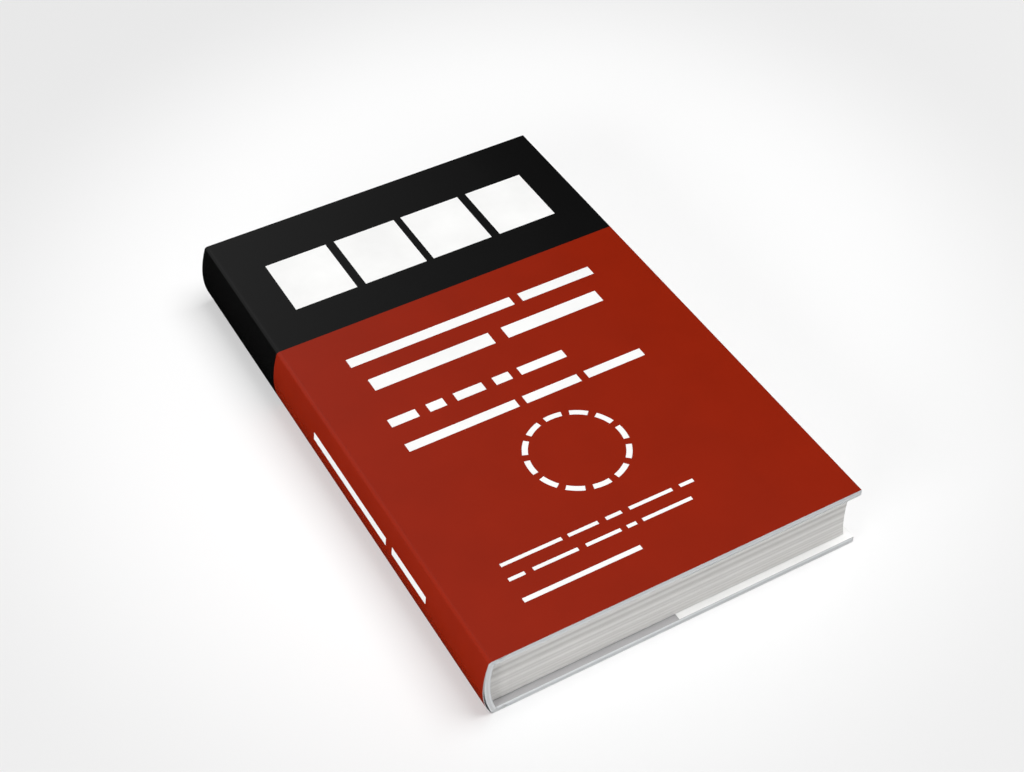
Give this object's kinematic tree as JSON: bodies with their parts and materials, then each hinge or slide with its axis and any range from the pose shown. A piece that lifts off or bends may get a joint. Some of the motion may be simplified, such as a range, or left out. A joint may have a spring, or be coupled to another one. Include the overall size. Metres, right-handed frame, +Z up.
{
  "type": "hardback book",
  "caption": "Closed hardback book: sewn leaves in a case with a rounded spine and two hinged boards, and a paper jacket with folded-in flaps.",
  "frame": {"origin": "under the middle of the closed book, on the surface that its back cover lies on", "axes": "+X from the spine to the fore edge, +Y from the tail to the head, +Z up through the front cover"},
  "size_m": [0.1314, 0.2078, 0.0242],
  "materials": {
    "jacket_paper": "satin",
    "leaves": "matte",
    "endpaper": "matte",
    "case_paper": "matte",
    "cover_board": "matte",
    "lining_cloth": "matte"
  },
  "bodies": {
    "book_block": {"page_block": "leaves", "spine_lining": "lining_cloth", "front_flyleaf": "endpaper", "back_flyleaf": "endpaper", "spine_board": "cover_board", "spine_wrap": "case_paper", "jacket_spine": "jacket_paper"},
    "front_cover": {"front_board": "cover_board", "front_wrap": "case_paper", "front_pastedown": "endpaper", "jacket_front": "jacket_paper"},
    "back_cover": {"back_board": "cover_board", "back_wrap": "case_paper", "back_pastedown": "endpaper", "jacket_back": "jacket_paper"}
  },
  "joints": [
    {"name": "front_cover_hinge", "type": "hinge", "parent": "book_block", "child": "front_cover", "pos_m": [-0.06136, 0, 0.02164], "axis": [0, -1, 0], "range_deg": [0, 180]},
    {"name": "back_cover_hinge", "type": "hinge", "parent": "book_block", "child": "back_cover", "pos_m": [-0.06136, 0, 0.00259], "axis": [0, 1, 0], "range_deg": [0, 180]}
  ]
}
